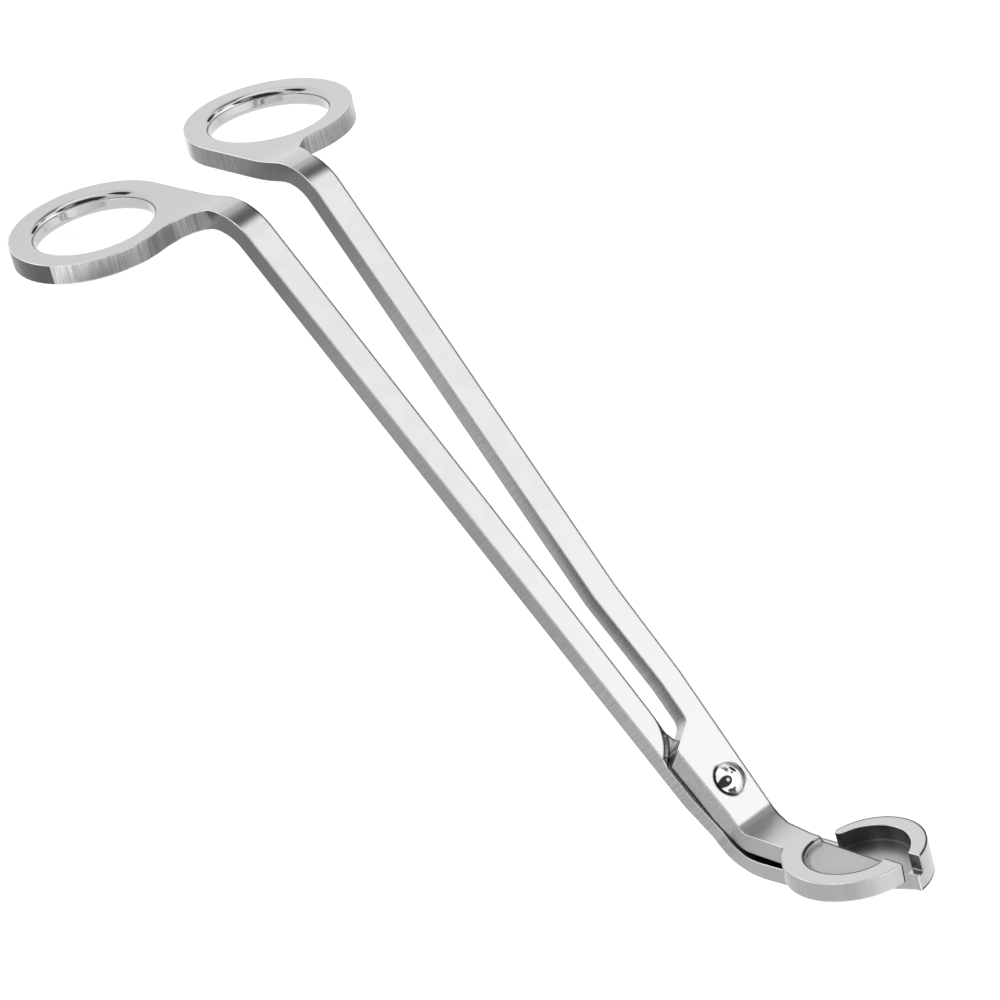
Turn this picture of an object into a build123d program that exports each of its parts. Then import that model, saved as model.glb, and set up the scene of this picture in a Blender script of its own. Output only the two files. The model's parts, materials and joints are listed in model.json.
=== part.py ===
from build123d import *
import copy
import math
import os

# ---------------------------------------------------------------- driving dimensions (mm)
# whole tool
bar = 3.5                 # thickness of the upper lever
bar_low = 3.65            # thickness of the lower lever along its arm and ring
bend = 52.0               # degrees the rings drop from the arms and the upper head rises
bend_low = 53.1           # degrees the lower head rises, so that the blades close on each other
bend_r = 2.5              # inside radius of the upper head bend
bend_r_low = 5.5          # inside radius of the lower head bend
bend_reach = 4.5          # the head bends lie within this distance of their corners
neck_reach = 5.5          # and the bends behind the rings within this distance
neck_bend = 61.0          # degrees the neck of a ring drops, before it eases back into the ring
neck_bend_r = 7.0         # inside radius of the bend between arm and neck
neck_back = 2.0           # that bend lies this much behind the line where arm and ring would meet
ease_r = 35.0             # radius of the gentle reverse curve into the ring
spread = 4.12             # degrees between the levers in the resting pose, 0 = fully closed

# pivot
rivet_r = 1.5             # shank
rivet_head_r = 2.6
rivet_dome = 1.0          # height of the dome over the upper lever
rivet_tail_r = 2.4        # flush countersunk tail
play = 0.06               # running clearance of the shank and the head in the upper lever
dish_r = 3.1              # shallow dish the rivet head sits in
dish_depth = 0.5
blade_gap = 0.12          # gap between the two levers at the pivot
lean = 0.8                # outer wall of the upper pivot plate leans out by this much at its foot
lean_x = -4.35            # top edge of that wall where it reaches the head
lean_turn = 5.7           # degrees that edge runs outward on its way back

# arms
arm_len = 126.0           # pivot to ring bend
neck_len = 9.0            # pivot to head bend, upper lever
low_step = 0.45           # height of the lower arm above the meeting plane
low_shift = 3.4           # the lower arm lies this much further out than the upper one
low_bend_extra = 0.7      # the lower head bends this much further forward

nose_r = 9.1              # rounded nose where the lower arm's full thickness ends, at its top
nose_x = 11.5
nose_y = -16.8
ramp_run = 1.2            # length of the ramp from the nose down to the lap

# finger rings
ring_r = 15.1
hole_r = 10.7
ring_out = 13.5           # sideways offset of the ring centre, upper lever
ring_dist = 26.2          # bend to ring centre, along the ring
hole_round = 1.2          # rounding of the hole, which leaves a cylindrical land
shoulder = 4.2            # the ring leaves its circle this far before its middle line
notch_w = -9.0            # inner corner between ring and neck, along the ring from the bend
web_r = 4.0               # rounding from the upper ring's outside into that corner
web_r_low = 9.0           # and on the lower ring

# upper head
d_r = 11.8
d_x = 1.45
d_w = 19.8
cut_x = 1.6               # cutting edge, past the centre line
pocket_r = 7.6
pocket_x = 0.5
pocket_w = 20.2
pocket_depth = 0.9
pocket_round = 0.85       # rounding between the pocket's wall and floor

# lower head
c_r = 9.8
c_x = -1.5
c_w = 24.0
rim_in_r = 8.1
rim_in_x = -0.4
rim_in_w = 23.6
rim_h = 3.0
rim_end_x = -3.1
tip_x = -1.6
tip_w = 32.6


def poly(points):
    """Flat face with straight sides."""
    return make_face(Polyline(*points, close=True))


def corners(face, points):
    """The corners of a flat face that lie at the given points."""
    return [v for v in face.vertices() if min(math.dist((v.X, v.Y), p) for p in points) < 0.05]


def ring_plane(top):
    """Top face of a ring, with sketch y pointing forward to the bend."""
    a = math.radians(bend)
    return Plane(origin=(0, -arm_len, top), x_dir=(1, 0, 0), z_dir=(0, -math.sin(a), math.cos(a)))


def head_plane(top, y, angle):
    """Top face of a head, with sketch y pointing forward from the bend."""
    a = math.radians(angle)
    return Plane(origin=(0, y, top), x_dir=(1, 0, 0), z_dir=(0, -math.sin(a), math.cos(a)))


def miter(before, at, after, t):
    """Where the lower face of a sheet of thickness t turns under a corner of its top face."""
    a = math.atan2(at[1] - before[1], at[0] - before[0])
    b = math.atan2(after[1] - at[1], after[0] - at[0])
    reach = t / math.cos((b - a) / 2)
    middle = (a + b) / 2
    return (at[0] + reach * math.sin(middle), at[1] - reach * math.cos(middle))


def down_slope(start, length, degrees):
    """Point reached from start by going back and down at an angle."""
    a = math.radians(degrees)
    return (start[0] - length * math.cos(a), start[1] - length * math.sin(a))


def bent_sheet(top, bottom, y_head, angle, head_r):
    """Side profile of a lever, ring down at the back and head up at the front, as one wide sheet."""
    t = top - bottom
    fall = math.tan(math.radians(bend))
    neck_fall = math.tan(math.radians(neck_bend))
    neck_len_y = neck_back * fall / (neck_fall - fall)
    neck_top = (-arm_len - neck_back, top)
    neck_end = down_slope(neck_top, neck_len_y / math.cos(math.radians(neck_bend)), neck_bend)
    ring_end = down_slope(neck_end, 50, bend)
    head_top = (y_head, top)
    head_end = down_slope(head_top, -50, angle)
    line = [ring_end, neck_end, neck_top, head_top, head_end]
    under = [miter(*line[i:i + 3], t) for i in range(3)]
    a = math.radians(bend)
    b = math.radians(angle)
    ring_end_low = (ring_end[0] + t * math.sin(a), ring_end[1] - t * math.cos(a))
    head_end_low = (head_end[0] + t * math.sin(b), head_end[1] - t * math.cos(b))
    side = poly(line + [head_end_low] + under[::-1] + [ring_end_low])
    side = fillet(corners(side, [neck_end]), ease_r)
    side = fillet(corners(side, [under[0]]), ease_r + t)
    side = fillet(corners(side, [neck_top]), neck_bend_r + t)
    side = fillet(corners(side, [under[1]]), neck_bend_r)
    side = fillet(corners(side, [head_top]), head_r)
    side = fillet(corners(side, [under[2]]), head_r + t)
    return extrude(Plane.YZ * side, 60, both=True)


def beyond(y, forward):
    """Everything on one side of a crosswise plane."""
    return Pos(0, y + (100 if forward else -100), 0) * Box(200, 200, 200)


def ring_outline(inner, outer, cx, notch_x, notch_r, web):
    """Finger ring with its neck, running tangent off the inner side of the arm."""
    start = -2
    dx = cx - inner
    dy = -ring_dist - start
    dist = math.hypot(dx, dy)
    turn = math.atan2(dy, dx) - math.asin(ring_r / dist)
    reach = math.sqrt(dist**2 - ring_r**2)
    touch = (inner + reach * math.cos(turn), start + reach * math.sin(turn))
    leave = (cx - shoulder, -ring_dist + math.sqrt(ring_r**2 - shoulder**2))
    notch = (outer + notch_x, notch_w)
    flare = (outer, -4)
    neck = poly([(inner, 12), (inner, start), touch, (cx, -ring_dist), leave, notch, flare, (outer, 12)])
    neck = fillet(corners(neck, [notch]), notch_r)
    neck = fillet(corners(neck, [(inner, start)]), 8)
    outline = Pos(cx, -ring_dist) * Circle(ring_r) + neck
    return fillet(corners(outline, [leave]), web)


def finish_ring(lever, plane, cx):
    """Opens the finger hole and rounds it over, leaving a plain land halfway down."""
    centre = plane * Pos(cx, -ring_dist)
    lever -= centre * Cylinder(hole_r, 4 * bar)
    rims = [e for e in lever.edges().filter_by(GeomType.CIRCLE) if abs(e.radius - hole_r) < 0.01]
    return fillet(rims, hole_round)


def upper_head():
    """D-shaped blade of the upper lever, in its own flat outline."""
    a = math.radians(bend)
    edge = -bend_reach * math.cos(a)
    foot = edge - 1.2 * bar * math.sin(a)
    neck = poly([(lean_x - 1.2 * lean, foot), (4.0, foot), (4.0, 0), (2.3, 4.5), (cut_x, 10.5),
                 (cut_x, 20), (-4.3, 20), (-4.3, 0), (lean_x, edge)])
    neck = fillet(corners(neck, [(4.0, 0), (2.3, 4.5), (cut_x, 10.5)]), 3)
    disc = Pos(d_x, d_w) * Circle(d_r)
    keep = poly([(-30, -12), (cut_x, -12), (cut_x, 40), (-30, 40)])
    return neck + (disc & keep)


def upper_arm():
    """Plan of the upper arm with the pivot plate."""
    y_back = -arm_len - 4
    plan = poly([(-1.3, y_back), (-1.3, -121), (-1.85, -38), (-0.4, -20), (-0.4, -12.2), (-5.45, -8.8),
                 (-6.3, -7), (-5.15, 4.5), (-5.15, 14), (4.0, 14), (4.0, 3.5), (4.1, -20), (3.2, -38),
                 (3.95, -121), (3.95, y_back)])
    plan = fillet(corners(plan, [(-0.4, -12.2)]), 2.5)
    plan = fillet(corners(plan, [(-5.45, -8.8)]), 0.7)
    return fillet(corners(plan, [(4.1, -20), (3.2, -38), (-1.85, -38), (-0.4, -20)]), 12)


def lower_head():
    """Blade of the lower lever: neck, round outer side and an oblique cutting edge."""
    side = [(5.55, -14), (5.55, 0), (6.1, 5), (6.1, 11.2), (5.0, 12.8), (tip_x, tip_w)]
    neck = poly([(-4.3, -14)] + side + [(c_x, c_w), (-4.3, c_w)])
    disc = Pos(c_x, c_w) * Circle(c_r)
    keep = poly([(-30, -14)] + side + [(tip_x - 0.5, 50), (-30, 50)])
    return (neck + disc) & keep


def lower_arm():
    """Plan of the lower arm with its pivot lap."""
    s = low_shift
    y_back = -arm_len - 4
    plan = poly([(-1.3 + s, y_back), (-1.3 + s, -60), (2.35, -13.2), (1.3, -9.9), (-4.9, -5.4), (-4.9, 0),
                 (-4.3, 5.5), (-4.3, 18), (5.55, 18), (5.55, 6), (6.3, -1), (3.2 + s, -30),
                 (3.95 + s, -121), (3.95 + s, y_back)])
    plan = fillet(corners(plan, [(6.3, -1)]), 12)
    plan = fillet(corners(plan, [(-4.9, -5.4)]), 1.5)
    return fillet(corners(plan, [(2.35, -13.2), (1.3, -9.9)]), 3)


def lever(outlines, top, bottom, y_head, angle, head_r, face):
    """Cuts the bent sheet to the ring, arm and head outlines and joins the three stretches."""
    ring, arm, head = outlines
    sheet = bent_sheet(top, bottom, y_head, angle, head_r)
    behind = beyond(-arm_len + neck_reach, False)
    ahead = beyond(y_head - bend_reach, True)
    ring_part = (sheet & behind) & extrude(ring_plane(top).offset(4) * ring, -16)
    head_part = (sheet & ahead) & extrude(face.offset(4) * head, -12)
    arm_part = (sheet - behind - ahead) & extrude(Pos(0, 0, -8) * arm, 16)
    return ring_part + arm_part + head_part


def plate_side():
    """Room beside the upper pivot plate, whose outer wall leans out towards its foot."""
    a = math.radians(lean_turn)
    back = Plane(origin=(lean_x, neck_len - bend_reach, bar), x_dir=(-math.cos(a), math.sin(a), 0),
                 z_dir=(-math.sin(a), -math.cos(a), 0))
    return extrude(back * poly([(-lean / bar, -1), (lean, bar), (5, bar), (5, -1)]), 20)


def upper_lever():
    """Lever on top: ring, arm, pivot plate and the blade with the shallow milled pocket."""
    outlines = (ring_outline(-1.3, 3.95, ring_out, 1.7, 1.2, web_r), upper_arm(), upper_head())
    head = head_plane(bar, neck_len, bend)
    body = lever(outlines, bar, 0, neck_len, bend, bend_r, head)
    body -= plate_side()
    body = finish_ring(body, ring_plane(bar), ring_out)
    pocket = extrude(Pos(pocket_x, pocket_w) * Circle(pocket_r), -pocket_depth)
    floor = [e for e in pocket.edges().filter_by(GeomType.CIRCLE) if e.center().Z < -pocket_depth / 2]
    pocket = fillet(floor, pocket_round)
    body -= head * pocket
    body -= Pos(0, 0, bar / 2) * Cylinder(rivet_r + play, bar + 2)
    dish = Plane.XY.offset(bar - dish_depth) * Circle(rivet_head_r + 0.1)
    mouth = Plane.XY.offset(bar) * Circle(dish_r)
    return body - loft([dish, mouth])


def scoop():
    """Room over the lower lap, ending in the rounded nose of the arm, which ramps down to the lap."""
    height = low_step + blade_gap
    room = Pos(0, nose_y + 50, height / 2 - blade_gap) * Box(60, 100, height)
    return room - Pos(nose_x, nose_y, height / 2 - blade_gap) * Cone(nose_r + ramp_run, nose_r, height)


def rim():
    """C-shaped wall that catches the trimmings, standing on the lower blade."""
    outer = Pos(c_x, c_w) * Circle(c_r)
    inner = Pos(rim_in_x, rim_in_w) * Circle(rim_in_r)
    side = Pos(rim_end_x - 15, c_w) * Rectangle(30, 40)
    band = (outer - inner) & side
    ends = [v for v in band.vertices() if v.Y < c_w]
    return fillet(ends, 0.6)


def lower_lever():
    """Lever underneath: ring, arm, thinner lap, flat blade and its C-shaped wall."""
    s = low_shift
    bottom = low_step - bar_low
    lap_step = low_step + blade_gap
    y_lap = neck_len + bar * math.tan(math.radians(bend / 2)) + low_bend_extra
    y_thick = y_lap - lap_step * math.tan(math.radians(bend_low / 2))
    head = head_plane(-blade_gap, y_lap, bend_low)
    ring = ring_outline(-1.3 + s, 3.95 + s, ring_out + s, -0.3, 4.0, web_r_low)
    outlines = (ring, lower_arm(), lower_head())
    body = lever(outlines, low_step, bottom, y_thick, bend_low, bend_r_low - lap_step, head)
    body = finish_ring(body, ring_plane(low_step), ring_out + s)
    forward = beyond(-5, True)
    thin = bent_sheet(-blade_gap, bottom, y_lap, bend_low, bend_r_low)
    body = (body - forward - scoop()) + (body & forward & thin)
    wall = extrude(head.offset(-1) * rim(), rim_h + 1)
    body += wall
    body -= Pos(0, 0, -2) * Cylinder(rivet_r, 10)
    tail_depth = rivet_tail_r - rivet_r
    tail = loft([Plane.XY.offset(bottom) * Circle(rivet_tail_r),
                 Plane.XY.offset(bottom + tail_depth) * Circle(rivet_r)])
    return body - tail


def rivet():
    """Rivet with a domed head on top and a flush countersunk tail, fixed in the lower lever."""
    bottom = low_step - bar_low
    seat = bar - dish_depth + play
    rim_top = seat + 0.3
    rise = bar + rivet_dome - rim_top
    ball_r = (rivet_head_r**2 + rise**2) / (2 * rise)
    up = (Align.CENTER, Align.CENTER, Align.MIN)
    shank = Pos(0, 0, bottom) * Cylinder(rivet_r, seat - bottom + 0.2, align=up)
    ball = Pos(0, 0, rim_top + rise - ball_r) * Sphere(ball_r)
    head = ball & (Pos(0, 0, seat) * Cylinder(rivet_head_r, 5, align=up))
    tail_depth = rivet_tail_r - rivet_r
    tail = Pos(0, 0, bottom) * Cone(rivet_tail_r, rivet_r, tail_depth, align=up)
    return shank + head + tail


def assembly():
    """The three pieces in the resting pose, with the origin under the middle of the whole tool."""
    upper = mirror(upper_lever(), about=Plane.YZ).rotate(Axis.Z, -spread / 2)
    lower = lower_lever().rotate(Axis.Z, spread / 2)
    pieces = {"lever_upper": upper, "lever_lower": lower, "rivet_pivot": rivet()}
    box = Compound(children=[copy.copy(p) for p in pieces.values()]).bounding_box()
    centre = box.center()
    home = Vector(-centre.X, -centre.Y, -box.min.Z)
    print("pivot axis, meeting plane at", home)
    return {name: Pos(*home) * piece for name, piece in pieces.items()}


if __name__ == "__main__":
    os.makedirs("parts", exist_ok=True)
    for name, piece in assembly().items():
        export_step(piece, f"parts/{name}.step")
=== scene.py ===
import json
import math

import bpy
from mathutils import Euler, Matrix, Vector


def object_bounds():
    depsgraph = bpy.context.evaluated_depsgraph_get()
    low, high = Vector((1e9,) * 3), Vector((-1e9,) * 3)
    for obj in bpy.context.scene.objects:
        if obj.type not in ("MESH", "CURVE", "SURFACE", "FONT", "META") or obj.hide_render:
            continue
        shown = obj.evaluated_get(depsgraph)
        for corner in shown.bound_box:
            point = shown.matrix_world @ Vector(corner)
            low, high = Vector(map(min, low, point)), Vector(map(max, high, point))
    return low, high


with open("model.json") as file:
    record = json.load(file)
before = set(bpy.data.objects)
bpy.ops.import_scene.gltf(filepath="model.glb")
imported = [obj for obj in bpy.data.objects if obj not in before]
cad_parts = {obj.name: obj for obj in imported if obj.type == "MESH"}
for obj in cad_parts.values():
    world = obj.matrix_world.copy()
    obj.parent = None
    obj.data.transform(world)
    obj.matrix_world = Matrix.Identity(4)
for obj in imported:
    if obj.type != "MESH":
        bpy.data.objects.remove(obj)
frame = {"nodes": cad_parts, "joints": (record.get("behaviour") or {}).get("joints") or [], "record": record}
cad_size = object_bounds()

pivot = Vector(frame["joints"][0]["pos_m"])
mounts = {mount["name"]: mount for mount in frame["record"]["mounts"]}
nodes = frame["nodes"]

# ---------------------------------------------------------------- the tool, in metres and degrees
BAR = 0.0035              # thickness of the upper lever
BLADE_GAP = 0.00012       # between the two levers at the pivot
HALF_SPREAD = 2.06        # each lever is turned this far from the middle line
SLOPE = 52.0              # slope of the rings and the upper head
SLOPE_LOW = 53.1          # slope of the lower head
RING_START = -0.128       # the bends, along the tool from the pivot
HEAD_START = 0.0105
BEND_HALF = 0.001         # half the length over which a bend changes the finish
RING_OUT = 0.0151         # outer radius of the rings
HOLE = 0.0120             # radius around a finger hole that is polished
BORDER = 0.0001           # width of a sharp border between two finishes

# ---------------------------------------------------------------- colours of the steel, with painted light and shade
FACE = (0.56, 0.56, 0.555)           # broad faces, in cloudy patches of two tones
FACE_LIGHT = (0.585, 0.585, 0.58)
FACE_RING = (0.52, 0.52, 0.515)      # painted shade on the broad faces of the rings
FACE_PIVOT = (0.605, 0.605, 0.60)    # painted light on the broad faces of the arms near the pivot
FACE_BEND = (0.30, 0.30, 0.30)       # painted shade in a band across the head's bend
WALL_FORWARD = (0.54, 0.54, 0.535)   # side walls that face along the tool
WALL_PIVOT = (0.38, 0.38, 0.38)      # painted light on side walls near the pivot
WALL_RING_SHADE = (0.09, 0.09, 0.09)       # painted shade on side walls beside the ring bends
SCRATCH = (0.12, 0.12, 0.12)         # grinding and milling marks
RING_DARK_REFLECTION = (0.04, 0.04, 0.04)       # painted dark reflection on a stretch of the lower ring's outer wall
EDGE_HIGHLIGHT = (0.95, 0.95, 0.95)     # painted highlight on broken edges that face up and to +X
EDGE_DARK = 0.06                     # share of its brightness that an edge facing -X keeps under its painted dark reflection
RIVET_TONES = ((0.80, 0.80, 0.79), (0.90, 0.90, 0.89))

# ---------------------------------------------------------------- where each finish and each painted light and shade starts and is complete
# along the tool from the pivot
# stretch beside the ring bends whose side walls get painted shade
RING_WALL_ON = (RING_START + 0.045, RING_START + 0.005)
RING_WALL_OFF = (RING_START - 0.003, RING_START - 0.009)
# painted light near the pivot, on side walls and on broad faces
PIVOT_WALL = (-0.05, -0.01)
PIVOT_FACE = (-0.07, -0.01)
# band across the head's bend, which gets painted shade and is rougher
BEND_ON = (0.0070, 0.0078)
BEND_OFF = (0.0150, 0.0085)
# from the axis of a finger hole
# outer rim of a ring, which takes the painted dark reflection
RING_RIM = (RING_OUT - 0.0003, RING_OUT - 0.0001)
# parts of a unit normal
LEVEL_WALL = (0.3, 0.75)             # turned sideways on a level stretch
FACE_TO_WALL = (0.93, 0.75)          # turned away from the broad face
# walls that face across the tool get painted greys of their own
CROSSWISE = (0.86, 0.98)
# walls turned this far sideways near the pivot get painted light
PIVOT_SIDE = (0.55, 0.98)
HOLLOW_END = (0.9, 0.98)
EDGE_BROKEN = (0.9999, 0.995)        # cosine between the broken edge's normal and the flat one
# edges that get a painted dark reflection, and edges that get a painted highlight
EDGE_TO_MINUS_X = (-0.02, -0.08)
EDGE_TO_PLUS_X = (0.1, 0.3)
EDGE_UP = (0.1, 0.3)
# values of a noise
STREAKS = (0.36, 0.66)
CLOUDS = (0.35, 0.65)
ARCS = (0.3, 0.7)

# ---------------------------------------------------------------- strength of each effect
# strength of the painted shade on side walls beside the ring bends
RING_WALL_SHARE = 0.72
STREAKS_ARM = 0.26
STREAKS_HEAD = 0.1
STREAKS_RING = 0.25                  # added to the arm's
# painted dark reflection on the lower ring's outer wall
RING_DARK_REFLECTION_SHARE = 0.9
RING_DARK_REFLECTION_AT = math.radians(-9)      # middle of the stretch with the painted dark reflection
RING_DARK_REFLECTION_HALF = math.radians(26)    # half its length
ARC_SHARE = 0.1
# strength of the painted highlight on edges
EDGE_HIGHLIGHT_SHARE = 0.9
HOLLOW_MIDDLE = 0.4                  # share of a hollow's radius that has the middle's colour; painted shade darkens the rest towards the rim
HOLLOW_FOOT = 0.0002                 # height over which its ground turns into the painted shade of its wall
GRAIN_LENGTH = 30                    # grinding marks are this many times longer than wide
FACE_ROUGH = 0.08
WALL_ROUGH = 0.24
BEND_ROUGH = 0.45
HOLLOW_ROUGH = 0.3
SPECK_ROUGH = 0.06                   # fine specks add up to this much roughness
HOLLOW_MARKS = 0.5                   # depth of the milling marks against the grinding marks
MARK_DEPTH = 0.00004
MARK_STRENGTH = 0.35
EDGE = 0.0003                        # radius that the edges are broken to
EDGE_FAR = 0.0006                    # and those that face -X, for their painted dark reflection
BEVEL_SAMPLES = 8
RIVET_ROUGH = 0.03
RIVET_TURNING = 0.05                 # roughness that the turning marks add

# ---------------------------------------------------------------- floor and camera
FLOOR_HALF = 2.5
FLOOR_DROP = 0.0002                  # the floor lies this far below the tool
FLOOR_COLOUR = (0.45, 0.45, 0.45, 1)
FLOOR_GLOW = 0.75
FLOOR_ROUGH = 0.6
LENS = 222.9                         # mm, on a sensor this wide
SENSOR = 36.0
DISTANCE = 1.0512                    # from the camera to the point it looks at
AIM_BACK = 0.0611                    # that point lies this far behind the pivot
AIM_SIDE = 0.0018                    # and this far to +X
TURN = (24.769, -24.713, 139.422)    # degrees
FAR_CLIP = 20.0

# ---------------------------------------------------------------- studio, by the direction of the light
TENT_Z = (-0.05, 0.5)                # the tent grows lighter upwards
TENT_LIGHT = (1.15, 1.65)
TENT_X = (0.0, 0.35)                 # and darker to +X
TENT_SHARE = (1.0, 0.8)
BOOST = 0.65                         # extra light from ahead, high up and to -X
BOOST_Y = (-0.2, 0.25)
BOOST_Z = (0.45, 0.7)
BOOST_X = (-0.1, -0.35)
STRIP_X = -0.56                      # dark strip behind the tool, to -X
STRIP_EDGE = (0.22, 0.12)            # its half width, outside and inside its soft edge
STRIP_Y = (-0.40, -0.64)
STRIP_Z = (-0.1, 0.48)
STRIP_DARK = 0.88
CEILING_X = 0.25                     # dark ceiling, an ellipse about this line
CEILING_HALF = (0.68, 0.5)           # its half axes
CEILING_EDGE = (1.1, 0.85)
CEILING_Z = (0.0, 0.1)
SKYLIGHT = ((0, 0, 1), 6, 13)        # its direction, and at how many degrees from it it's full and gone
SKYLIGHT_KEEPS = 0.4                 # share of the ceiling's darkness that stays in the skylight
# dark gaps between the lights, in the same form
GAPS = (((-0.74, -0.27, 0.62), 5, 8), ((0.58, -0.80, 0.14), 19, 22), ((-0.92, -0.34, 0.22), 12, 15))
DARK = 0.98                          # how dark the ceiling and the gaps are
LEAST = 0.03                         # light that comes from everywhere


# ---------------------------------------------------------------- shader nodes
def node(tree, kind, **settings):
    """One shader node; a dict under 'inputs' sets its sockets."""
    made = tree.nodes.new(kind)
    values = settings.pop("inputs", {})
    for key, value in settings.items():
        setattr(made, key, value)
    for key, value in values.items():
        if isinstance(value, bpy.types.NodeSocket):
            tree.links.new(value, made.inputs[key])
        else:
            made.inputs[key].default_value = value
    return made


def maths(tree, operation, a, b=None):
    inputs = {0: a} if b is None else {0: a, 1: b}
    return node(tree, "ShaderNodeMath", operation=operation, inputs=inputs).outputs[0]


def product(tree, first, *others):
    for other in others:
        first = maths(tree, "MULTIPLY", first, other)
    return first


def rest_of(tree, value):
    return maths(tree, "SUBTRACT", 1.0, value)


def vector_maths(tree, operation, a, b=None, out="Vector"):
    inputs = {0: a} if b is None else {0: a, 1: b}
    return node(tree, "ShaderNodeVectorMath", operation=operation, inputs=inputs).outputs[out]


def component(tree, vector, axis):
    return node(tree, "ShaderNodeSeparateXYZ", inputs={"Vector": vector}).outputs[axis]


def smooth(tree, value, start, end, low_value=0.0, high_value=1.0):
    """Eases from low_value to high_value as value goes from start to end."""
    made = node(tree, "ShaderNodeMapRange", interpolation_type="SMOOTHSTEP",
                inputs={"Value": value, "From Min": start, "From Max": end, "To Min": low_value,
                        "To Max": high_value})
    return made.outputs["Result"]


def blend_value(tree, fac, a, b):
    return node(tree, "ShaderNodeMix", data_type="FLOAT", inputs={"Factor": fac, 2: a, 3: b}).outputs[0]


def blend_vector(tree, fac, a, b):
    return node(tree, "ShaderNodeMix", data_type="VECTOR", inputs={"Factor": fac, 4: a, 5: b}).outputs[1]


def blend_colour(tree, fac, a, b):
    made = node(tree, "ShaderNodeMix", data_type="RGBA", inputs={"Factor": fac})
    for index, colour in ((6, a), (7, b)):
        if isinstance(colour, bpy.types.NodeSocket):
            tree.links.new(colour, made.inputs[index])
        else:
            made.inputs[index].default_value = (*colour, 1)
    return made.outputs[2]


def noise(tree, vector, scale, detail, roughness=0.5):
    return node(tree, "ShaderNodeTexNoise",
                inputs={"Vector": vector, "Scale": scale, "Detail": detail,
                        "Roughness": roughness}).outputs["Fac"]


def turning_noise(tree, radius, scale, detail):
    """Noise in circles, as turned or milled metal has it."""
    return node(tree, "ShaderNodeTexNoise", noise_dimensions="1D",
                inputs={"W": radius, "Scale": scale, "Detail": detail}).outputs["Fac"]


def around_axis(tree, place, centre, axis):
    """Distance from an axis and height along it, both in metres, for the point being shaded."""
    offset = vector_maths(tree, "SUBTRACT", place, centre)
    height = vector_maths(tree, "DOT_PRODUCT", offset, axis, out="Value")
    across = vector_maths(tree, "CROSS_PRODUCT", offset, axis)
    return vector_maths(tree, "LENGTH", across, out="Value"), height


def empty_material(name):
    mat = bpy.data.materials.new(name)
    mat.use_nodes = True
    mat.node_tree.nodes.clear()
    return mat, mat.node_tree


def metal(tree, **inputs):
    """Metal shader, joined to the material's output. An underscore in a name stands for a space."""
    sockets = {name.replace("_", " "): value for name, value in inputs.items()}
    shader = node(tree, "ShaderNodeBsdfPrincipled", inputs={"Metallic": 1.0, **sockets})
    node(tree, "ShaderNodeOutputMaterial", inputs={"Surface": shader.outputs["BSDF"]})


# ---------------------------------------------------------------- steel of the levers
class Spot:
    """Sockets that say where on a lever the shaded point is, and which way it faces."""

    def __init__(self, tree, hole):
        coords = node(tree, "ShaderNodeTexCoord")
        self.place = coords.outputs["Object"]
        self.along = component(tree, vector_maths(tree, "SUBTRACT", self.place, pivot), "Y")
        self.ring = smooth(tree, self.along, RING_START + BEND_HALF, RING_START - BEND_HALF)
        self.head = smooth(tree, self.along, HEAD_START - BEND_HALF, HEAD_START + BEND_HALF)
        self.sloped = maths(tree, "MAXIMUM", self.ring, self.head)
        self.to_hole, _ = around_axis(tree, self.place, Vector(hole["pos_m"]), hole["axis"])
        self.sideways = maths(tree, "ABSOLUTE", component(tree, coords.outputs["Normal"], "X"))
        self.wall = self.wall_mask(tree, coords.outputs["Normal"])
        self.bend = product(tree, smooth(tree, self.along, *BEND_ON), smooth(tree, self.along, *BEND_OFF))

    def wall_mask(self, tree, normal):
        """1 on side walls, whose normal lies in the plane of the sheet, and 0 on its broad faces."""
        slope = math.radians(SLOPE)
        upright = (0, -math.sin(slope), math.cos(slope))
        to_slope = maths(tree, "ABSOLUTE", vector_maths(tree, "DOT_PRODUCT", normal, upright, out="Value"))
        level = rest_of(tree, smooth(tree, self.sideways, *LEVEL_WALL))
        facing = blend_value(tree, self.sloped, level, to_slope)
        return product(tree, smooth(tree, facing, *FACE_TO_WALL),
                       smooth(tree, self.to_hole, HOLE, HOLE + BORDER))


def grinding(tree, spot):
    """Marks through the thickness, in the sheet's own direction."""
    grains = []
    for angle in (0.0, math.radians(SLOPE)):
        turned = node(tree, "ShaderNodeMapping", vector_type="TEXTURE",
                      inputs={"Vector": spot.place, "Rotation": (angle, 0, 0), "Scale": (1, 1, GRAIN_LENGTH)})
        grains.append(noise(tree, turned.outputs["Vector"], scale=3400.0, detail=4.0, roughness=0.65))
    return blend_value(tree, spot.sloped, *grains)


def wall_colour(tree, spot, grain, arm_wall, ring_wall, ring_front):
    """Side walls, painted in greys that stand in for light and shade: walls that face across the tool get a
    painted grey of their own, as do the ring's walls; walls near the pivot get painted light and walls beside
    the ring bends painted shade.
    """
    across = blend_colour(tree, spot.ring, arm_wall, ring_wall)
    forward = blend_colour(tree, spot.ring, WALL_FORWARD, ring_front)
    wall = blend_colour(tree, smooth(tree, spot.sideways, *CROSSWISE), forward, across)
    # painted light on side walls near the pivot
    pivot_wall_light = product(tree, smooth(tree, spot.along, *PIVOT_WALL),
                         smooth(tree, spot.sideways, *PIVOT_SIDE))
    wall = blend_colour(tree, pivot_wall_light, wall, WALL_PIVOT)
    # painted shade on side walls beside the ring bends
    ring_bend_shade = product(tree, smooth(tree, spot.along, *RING_WALL_ON),
                        rest_of(tree, smooth(tree, spot.along, *RING_WALL_OFF)), RING_WALL_SHARE)
    wall = blend_colour(tree, ring_bend_shade, wall, WALL_RING_SHADE)
    scratched = blend_colour(tree, smooth(tree, grain, *STREAKS), SCRATCH, wall)
    depth = maths(tree, "ADD", blend_value(tree, spot.head, STREAKS_ARM, STREAKS_HEAD),
                  product(tree, spot.ring, STREAKS_RING))
    return blend_colour(tree, depth, wall, scratched)


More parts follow.
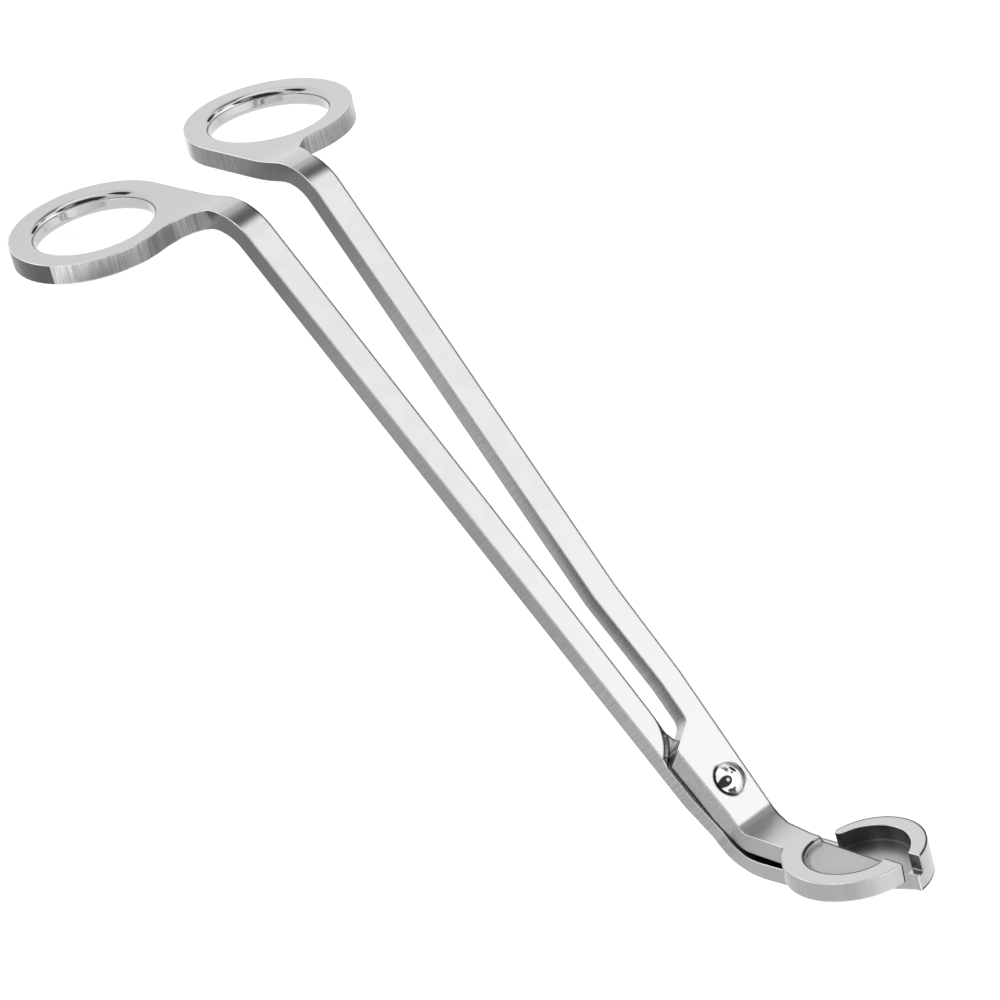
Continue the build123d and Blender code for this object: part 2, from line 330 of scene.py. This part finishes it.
def ring_direction(hole, angle):
    """Direction from the middle of a finger ring, at an angle from the crosswise line."""
    axis = Vector(hole["axis"])
    across = Vector((0, 0, 1)).cross(axis).normalized()
    return across * math.cos(angle) + axis.cross(across) * math.sin(angle)


def painted_dark_reflection(tree, spot, hole, direction):
    """How strongly a painted dark reflection darkens the outer wall of a ring: only in one direction from its
    middle.
    """
    offset = vector_maths(tree, "SUBTRACT", spot.place, Vector(hole["pos_m"]))
    reach = vector_maths(tree, "DOT_PRODUCT", offset, direction, out="Value")
    start = RING_OUT * math.cos(RING_DARK_REFLECTION_HALF)
    return product(tree, smooth(tree, reach, start, start + BORDER), smooth(tree, spot.to_hole, *RING_RIM),
                   RING_DARK_REFLECTION_SHARE)


def face_colour(tree, spot):
    clouds = noise(tree, spot.place, scale=220.0, detail=3.0)
    face = blend_colour(tree, smooth(tree, clouds, *CLOUDS), FACE, FACE_LIGHT)
    # painted shade on the rings' broad faces, painted light on the arms' broad faces near the pivot
    face = blend_colour(tree, spot.ring, face, FACE_RING)
    face = blend_colour(tree, smooth(tree, spot.along, *PIVOT_FACE), face, FACE_PIVOT)
    face = blend_colour(tree, spot.head, face, FACE)
    # painted shade in a band across the head's bend
    return blend_colour(tree, spot.bend, face, FACE_BEND)


def inside_hollow(tree, spot, hollow, radius, height):
    """1 inside a hollow. Its walls that face across the tool may lie further from its axis."""
    ends = product(tree, smooth(tree, spot.sideways, *HOLLOW_END), hollow["ends"])
    within = smooth(tree, maths(tree, "SUBTRACT", radius, ends), hollow["r"] + BORDER, hollow["r"] - BORDER)
    below = smooth(tree, height, hollow["high"], hollow["high"] - BORDER)
    above = smooth(tree, height, hollow["low"] - BORDER, hollow["low"])
    return product(tree, within, product(tree, below, above))


def hollow_colour(tree, hollow, radius, height, turns):
    """Milled in circles, so it has arcs of its own; painted shade darkens its ground towards the rim and its
    upright wall.
    """
    outer = smooth(tree, radius, HOLLOW_MIDDLE * hollow["r"], hollow["r"])
    ground = blend_colour(tree, outer, hollow["middle"], hollow["edge"])
    upright = smooth(tree, height, hollow["floor"], hollow["floor"] + HOLLOW_FOOT)
    ground = blend_colour(tree, upright, ground, hollow["wall"])
    return blend_colour(tree, product(tree, smooth(tree, turns, *ARCS), ARC_SHARE), ground, SCRATCH)


def broken_edge(tree, radius, flat):
    """Normal of the edges broken to a radius, and 1 where it leaves the flat one."""
    normal = node(tree, "ShaderNodeBevel", samples=BEVEL_SAMPLES, inputs={"Radius": radius}).outputs["Normal"]
    same = vector_maths(tree, "DOT_PRODUCT", normal, flat, out="Value")
    return normal, smooth(tree, same, *EDGE_BROKEN)


def edge_colour(tree, spot, colour, inside, flat, rounded, broken):
    """Edges that face -X get a painted dark reflection, and those that face up and to +X a painted highlight.
    """
    wide, wide_broken = broken_edge(tree, EDGE_FAR, flat)
    dark_edge_reflection = product(tree, wide_broken, smooth(tree, component(tree, wide, "X"), *EDGE_TO_MINUS_X),
                   rest_of(tree, spot.ring))
    kept = smooth(tree, dark_edge_reflection, 0, 1, 1.0, EDGE_DARK)
    colour = node(tree, "ShaderNodeVectorMath", operation="SCALE",
                  inputs={"Vector": colour, "Scale": kept}).outputs["Vector"]
    bright = product(tree, broken, smooth(tree, component(tree, rounded, "X"), *EDGE_TO_PLUS_X),
                     smooth(tree, component(tree, rounded, "Z"), *EDGE_UP), rest_of(tree, inside),
                     EDGE_HIGHLIGHT_SHARE)
    return blend_colour(tree, bright, colour, EDGE_HIGHLIGHT)


def steel(name, hollow, hole, arm_wall, ring_wall, ring_front, dark_reflection_at=None):
    """Lever finish: polished broad faces, side walls ground through the thickness, a milled hollow, and
    painted light, shade and reflections in its colour.
    """
    mat, tree = empty_material(name)
    spot = Spot(tree, hole)
    grain = grinding(tree, spot)
    wall = wall_colour(tree, spot, grain, arm_wall, ring_wall, ring_front)
    # painted dark reflection on a stretch of the ring's outer wall
    if dark_reflection_at is not None:
        wall = blend_colour(tree, painted_dark_reflection(tree, spot, hole, dark_reflection_at), wall, RING_DARK_REFLECTION)
    colour = blend_colour(tree, spot.wall, face_colour(tree, spot), wall)

    radius, height = around_axis(tree, spot.place, hollow["centre"], hollow["axis"])
    inside = inside_hollow(tree, spot, hollow, radius, height)
    turns = turning_noise(tree, radius, scale=3800.0, detail=3.0)
    colour = blend_colour(tree, inside, colour, hollow_colour(tree, hollow, radius, height, turns))

    flat = node(tree, "ShaderNodeNewGeometry").outputs["Normal"]
    rounded, broken = broken_edge(tree, EDGE, flat)
    # painted dark reflections and painted highlights on the broken edges
    colour = edge_colour(tree, spot, colour, inside, flat, rounded, broken)

    rough = blend_value(tree, spot.wall, FACE_ROUGH, WALL_ROUGH)
    rough = blend_value(tree, spot.bend, rough, BEND_ROUGH)
    rough = blend_value(tree, inside, rough, HOLLOW_ROUGH)
    speck = noise(tree, spot.place, scale=3500.0, detail=2.0, roughness=0.7)
    rough = maths(tree, "ADD", rough, product(tree, speck, SPECK_ROUGH))
    marks = maths(tree, "ADD", product(tree, grain, spot.wall), product(tree, turns, inside, HOLLOW_MARKS))
    bump = node(tree, "ShaderNodeBump",
                inputs={"Strength": MARK_STRENGTH, "Distance": MARK_DEPTH, "Height": marks,
                        "Normal": blend_vector(tree, inside, rounded, flat)})
    metal(tree, Base_Color=colour, Roughness=rough, Normal=bump.outputs["Normal"])
    return mat


def polished(name):
    """Mirror-bright rivet with the faint turning marks of its head."""
    mat, tree = empty_material(name)
    place = node(tree, "ShaderNodeTexCoord").outputs["Object"]
    radius, _ = around_axis(tree, place, pivot, (0, 0, 1))
    turns = turning_noise(tree, radius, scale=2500.0, detail=2.0)
    rough = maths(tree, "ADD", product(tree, turns, RIVET_TURNING), RIVET_ROUGH)
    metal(tree, Base_Color=blend_colour(tree, turns, *RIVET_TONES), Roughness=rough)
    return mat


def hollow_place(across, up, start, height, slope, turn):
    """Middle and axis of the hollow in a head that rises from 'start' ahead of the pivot."""
    angle = math.radians(slope)
    swing = Matrix.Rotation(math.radians(turn), 3, "Z")
    middle = Vector((across, start + up * math.cos(angle), height + up * math.sin(angle)))
    return {"centre": pivot + Vector((0, 0, -BAR / 2)) + swing @ middle,
            "axis": swing @ Vector((0, -math.sin(angle), math.cos(angle)))}


def paint(name, mat):
    obj = nodes[name]
    obj.data.materials.clear()
    obj.data.materials.append(mat)


def make_upper_lever():
    pocket = {
        **hollow_place(across=-0.0005, up=0.0202, start=0.0090, height=BAR, slope=SLOPE, turn=-HALF_SPREAD),
        "r": 0.0076, "ends": 0.0, "low": -0.0012, "high": -0.00008, "floor": -0.0006,
        # edge and wall hold painted shade, towards and on the pocket's wall
        "middle": (0.47, 0.47, 0.465), "edge": (0.44, 0.44, 0.435), "wall": (0.30, 0.30, 0.30)}
    # painted shade on the walls of the arm and the ring that face across the tool, and painted light on the
    # ring's walls that face along it
    mat = steel("steel_upper", pocket, mounts["ring_upper_hole"], arm_wall=(0.36, 0.36, 0.36),
                ring_wall=(0.28, 0.28, 0.28), ring_front=(0.95, 0.95, 0.95))
    paint("lever_upper", mat)


def make_lower_lever():
    tray = {
        **hollow_place(across=-0.0004, up=0.0236, start=0.0114, height=-BLADE_GAP, slope=SLOPE_LOW,
                       turn=HALF_SPREAD),
        "r": 0.0083, "ends": 0.0023, "low": -0.0002, "high": 0.0029, "floor": 0.0001,
        # edge and wall hold painted shade, towards and on the tray's wall
        "middle": (0.52, 0.52, 0.52), "edge": (0.40, 0.40, 0.40), "wall": (0.16, 0.16, 0.16)}
    hole = mounts["ring_lower_hole"]
    # painted shade on the arm's walls that face across the tool, painted light on all walls of the ring, and
    # a painted dark reflection on a stretch of the ring's outer wall
    mat = steel("steel_lower", tray, hole, arm_wall=(0.29, 0.29, 0.29), ring_wall=(0.85, 0.85, 0.85),
                ring_front=(0.85, 0.85, 0.85), dark_reflection_at=ring_direction(hole, RING_DARK_REFLECTION_AT))
    paint("lever_lower", mat)


def make_rivet():
    paint("rivet_pivot", polished("rivet_bright"))


# ---------------------------------------------------------------- floor and studio
def make_floor():
    mesh = bpy.data.meshes.new("floor")
    z = cad_size[0][2] - FLOOR_DROP
    corners = [(x * FLOOR_HALF, y * FLOOR_HALF, z) for x, y in ((-1, -1), (1, -1), (1, 1), (-1, 1))]
    mesh.from_pydata(corners, [], [(0, 1, 2, 3)])
    floor = bpy.data.objects.new("floor", mesh)
    bpy.context.scene.collection.objects.link(floor)
    mat = bpy.data.materials.new("floor_white")
    mat.use_nodes = True
    sockets = mat.node_tree.nodes["Principled BSDF"].inputs
    sockets["Base Color"].default_value = FLOOR_COLOUR
    sockets["Emission Color"].default_value = (1, 1, 1, 1)
    sockets["Emission Strength"].default_value = FLOOR_GLOW
    sockets["Roughness"].default_value = FLOOR_ROUGH
    sockets["Specular IOR Level"].default_value = 0.0
    mesh.materials.append(mat)


def patch(tree, direction, centre, full, none):
    """1 within 'full' degrees of a direction in the sky, easing to 0 at 'none' degrees."""
    cosine = vector_maths(tree, "DOT_PRODUCT", direction, Vector(centre).normalized(), out="Value")
    return smooth(tree, cosine, math.cos(math.radians(none)), math.cos(math.radians(full)))


def tent_light(tree, x, y, z):
    boost = product(tree, smooth(tree, y, *BOOST_Y, 0.0, BOOST), smooth(tree, z, *BOOST_Z),
                    smooth(tree, x, *BOOST_X))
    light = maths(tree, "ADD", smooth(tree, z, *TENT_Z, *TENT_LIGHT), boost)
    return product(tree, light, smooth(tree, x, *TENT_X, *TENT_SHARE))


def dark_strip(tree, x, y, z):
    beside = smooth(tree, maths(tree, "ABSOLUTE", maths(tree, "SUBTRACT", x, STRIP_X)), *STRIP_EDGE)
    return product(tree, beside, smooth(tree, y, *STRIP_Y), smooth(tree, z, *STRIP_Z))


def dark_ceiling(tree, direction, x, y, z):
    across = maths(tree, "DIVIDE", maths(tree, "SUBTRACT", x, CEILING_X), CEILING_HALF[0])
    along = maths(tree, "DIVIDE", y, CEILING_HALF[1])
    squares = maths(tree, "ADD", maths(tree, "POWER", across, 2.0), maths(tree, "POWER", along, 2.0))
    skylight = smooth(tree, patch(tree, direction, *SKYLIGHT), 0.0, 1.0, 1.0, SKYLIGHT_KEEPS)
    return product(tree, smooth(tree, squares, *CEILING_EDGE), smooth(tree, z, *CEILING_Z), skylight)


def make_world():
    """Light tent with a dark ceiling, a dark strip behind the tool and dark gaps between its lights."""
    world = bpy.data.worlds.new("studio")
    bpy.context.scene.world = world
    world.use_nodes = True
    tree = world.node_tree
    tree.nodes.clear()
    direction = node(tree, "ShaderNodeTexCoord").outputs["Generated"]
    x, y, z = (component(tree, direction, axis) for axis in "XYZ")
    dark = dark_ceiling(tree, direction, x, y, z)
    for gap in GAPS:
        dark = maths(tree, "MAXIMUM", dark, patch(tree, direction, *gap))
    dark = maths(tree, "MAXIMUM", product(tree, dark, DARK),
                 product(tree, dark_strip(tree, x, y, z), STRIP_DARK))
    total = maths(tree, "ADD", product(tree, tent_light(tree, x, y, z), rest_of(tree, dark)), LEAST)
    back = node(tree, "ShaderNodeBackground", inputs={"Strength": total})
    node(tree, "ShaderNodeOutputWorld", inputs={"Surface": back.outputs["Background"]})


def make_camera():
    data = bpy.data.cameras.new("camera")
    data.lens = LENS
    data.sensor_width = SENSOR
    data.clip_end = FAR_CLIP
    camera = bpy.data.objects.new("camera", data)
    bpy.context.scene.collection.objects.link(camera)
    turn = Euler([math.radians(angle) for angle in TURN], "XYZ")
    aim = pivot + Vector((AIM_SIDE, -AIM_BACK, -BAR / 2))
    camera.rotation_euler = turn
    camera.location = aim + turn.to_matrix() @ Vector((0, 0, DISTANCE))
    bpy.context.scene.camera = camera


make_upper_lever()
make_lower_lever()
make_rivet()
make_floor()
make_world()
make_camera()
bpy.context.scene.view_settings.view_transform = "Standard"
